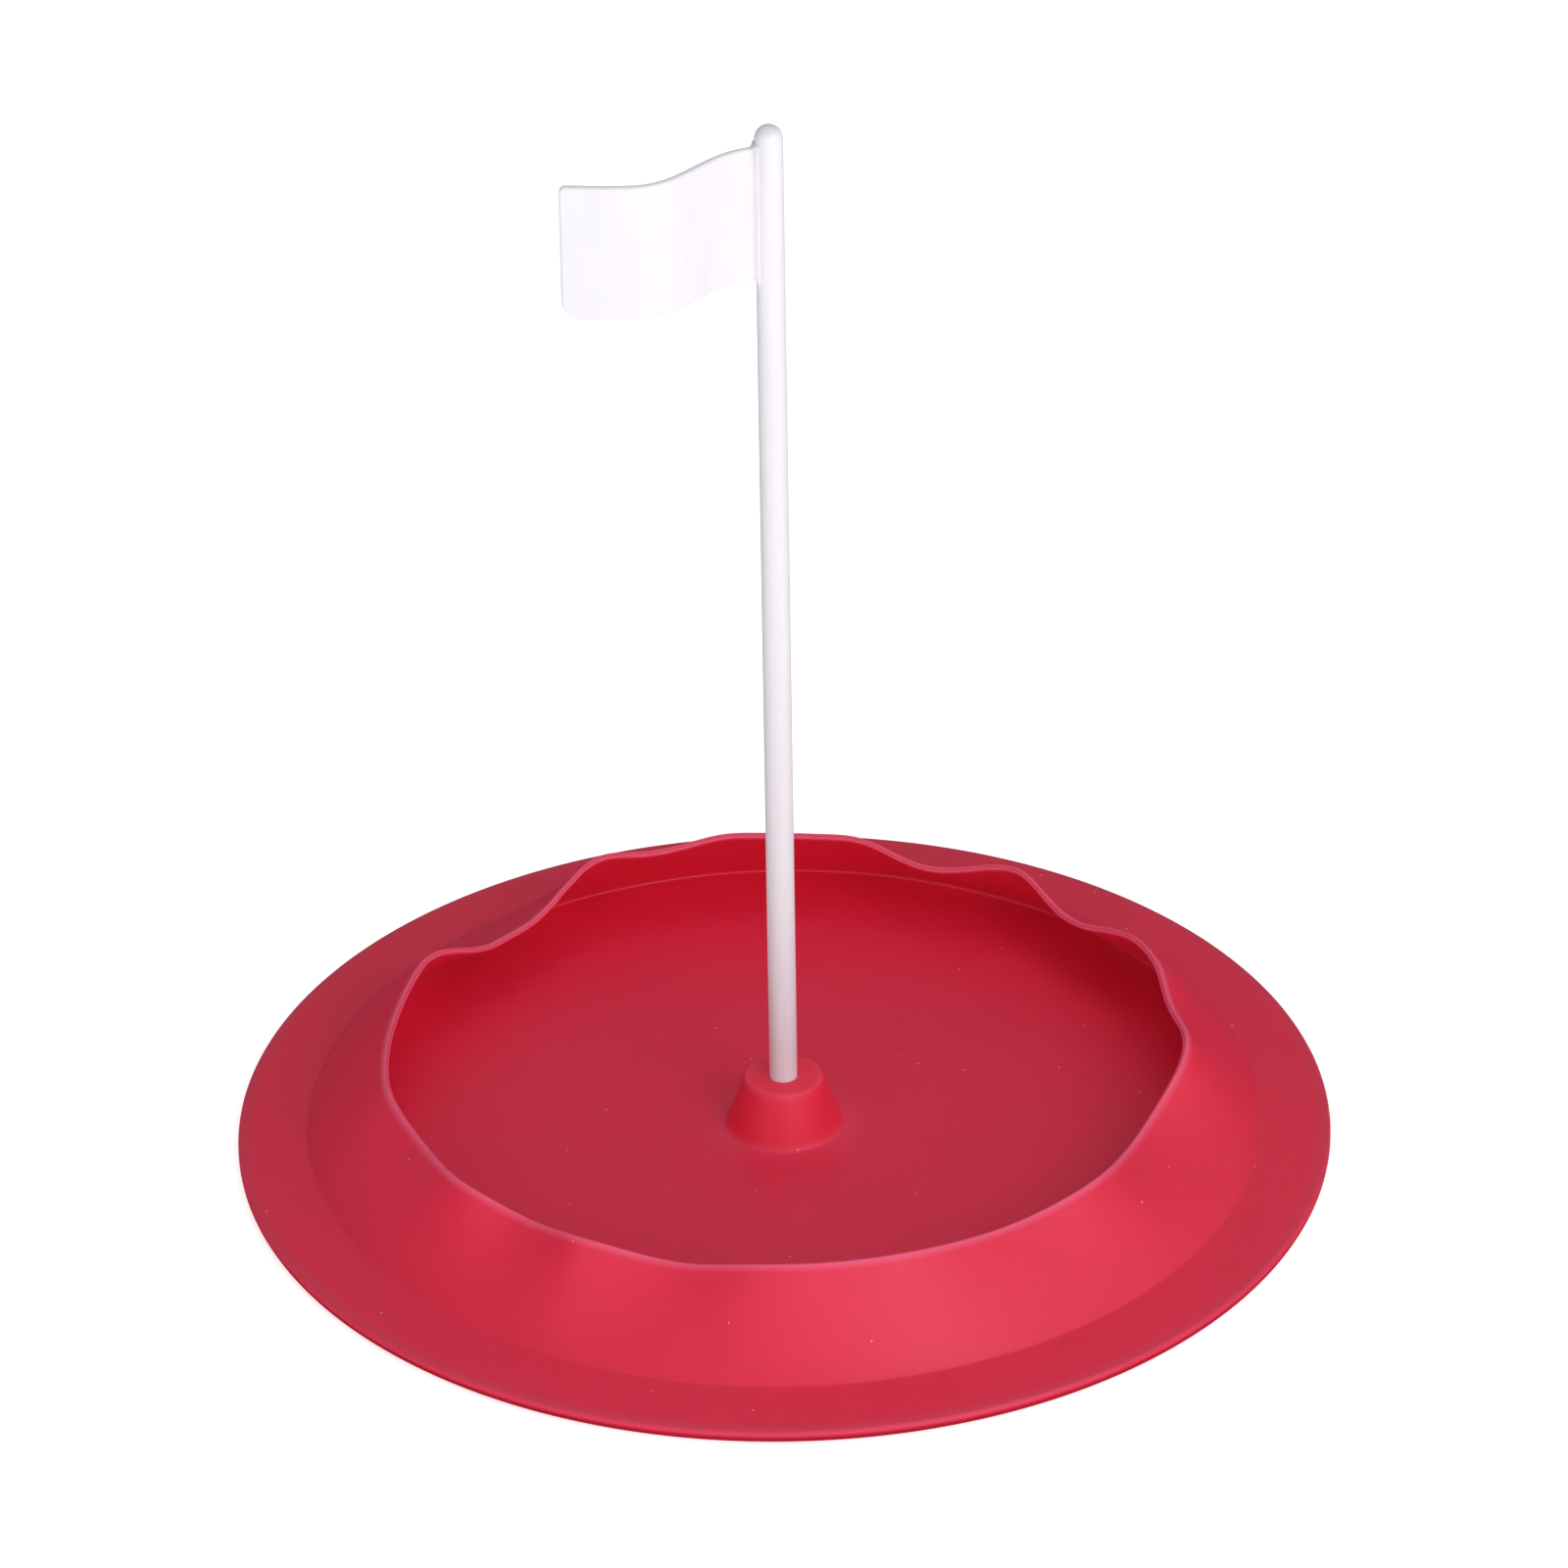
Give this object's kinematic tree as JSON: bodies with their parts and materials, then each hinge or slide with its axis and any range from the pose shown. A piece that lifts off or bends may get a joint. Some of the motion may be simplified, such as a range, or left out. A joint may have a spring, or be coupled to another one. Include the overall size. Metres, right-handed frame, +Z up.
{
  "type": "putting cup",
  "caption": "Soft round putting cup with an inward-leaning flexible lip and a small lift-out flagstick in its middle.",
  "frame": {"origin": "centre of the disc's flat underside", "axes": "+Z up along the flagstick; the flag points to -X; the player putts from -Y"},
  "size_m": [0.15, 0.15, 0.1558],
  "materials": {
    "silicone": "satin red silicone",
    "white_plastic": "satin white moulded plastic"
  },
  "bodies": {
    "cup": {"base_disc": "silicone", "lip_wall": "silicone", "flag_socket": "silicone"},
    "stick": {"flag_pole": "white_plastic"},
    "flag": {"flag": "white_plastic"}
  },
  "joints": [
    {"name": "stick_lift", "type": "slide", "parent": "cup", "child": "stick", "axis": [0, 0, 1], "range_m": [0, 0.03]},
    {"name": "flag_turn", "type": "hinge", "parent": "stick", "child": "flag", "pos_m": [0, 0, 0.1432], "axis": [0, 0, 1], "continuous": true}
  ]
}
